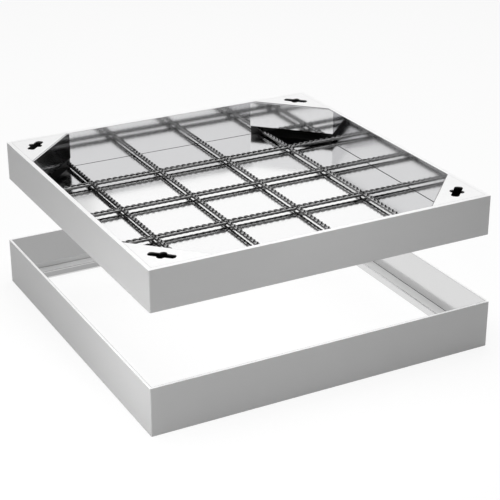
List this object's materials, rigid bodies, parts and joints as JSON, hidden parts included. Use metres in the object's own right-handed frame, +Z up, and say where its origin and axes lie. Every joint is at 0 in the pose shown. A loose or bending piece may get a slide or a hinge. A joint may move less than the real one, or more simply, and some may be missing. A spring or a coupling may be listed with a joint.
{
  "type": "recessed paving cover",
  "caption": "Square recessed steel cover for paving infill, with corner plates, key slots and a grid of ribbed reinforcing bars, held above its square ground frame.",
  "frame": {"origin": "middle of the ground frame's underside", "axes": "+Z up, +X to the right along the front side, +Y to the back"},
  "size_m": [0.6, 0.6, 0.2635],
  "materials": {
    "frame_steel": "satin stainless sheet",
    "cover_steel": "satin stainless sheet outside, polished inside",
    "floor_steel": "polished stainless sheet",
    "corner_steel": "satin stainless sheet",
    "bar_steel": "dark drawn reinforcing steel"
  },
  "bodies": {
    "root": {"corner_plate_back_left": "corner_steel", "corner_plate_back_right": "corner_steel", "corner_plate_front_left": "corner_steel", "corner_plate_front_right": "corner_steel", "cover_floor": "floor_steel", "cover_wall_back": "cover_steel", "cover_wall_front": "cover_steel", "cover_wall_left": "cover_steel", "cover_wall_right": "cover_steel", "cross_bar_1_1": "bar_steel", "cross_bar_1_2": "bar_steel", "cross_bar_1_3": "bar_steel", "cross_bar_1_4": "bar_steel", "cross_bar_1_5": "bar_steel", "cross_bar_2_1": "bar_steel", "cross_bar_2_2": "bar_steel", "cross_bar_2_3": "bar_steel", "cross_bar_2_4": "bar_steel", "cross_bar_2_5": "bar_steel", "cross_bar_3_1": "bar_steel", "cross_bar_3_2": "bar_steel", "cross_bar_3_3": "bar_steel", "cross_bar_3_4": "bar_steel", "cross_bar_3_5": "bar_steel", "cross_bar_4_1": "bar_steel", "cross_bar_4_2": "bar_steel", "cross_bar_4_3": "bar_steel", "cross_bar_4_4": "bar_steel", "cross_bar_4_5": "bar_steel", "frame_seat_back": "frame_steel", "frame_seat_front": "frame_steel", "frame_seat_left": "frame_steel", "frame_seat_right": "frame_steel", "frame_wall_back": "frame_steel", "frame_wall_front": "frame_steel", "frame_wall_left": "frame_steel", "frame_wall_right": "frame_steel", "long_bar_1": "bar_steel", "long_bar_2": "bar_steel", "long_bar_3": "bar_steel", "long_bar_4": "bar_steel"}
  },
  "joints": []
}
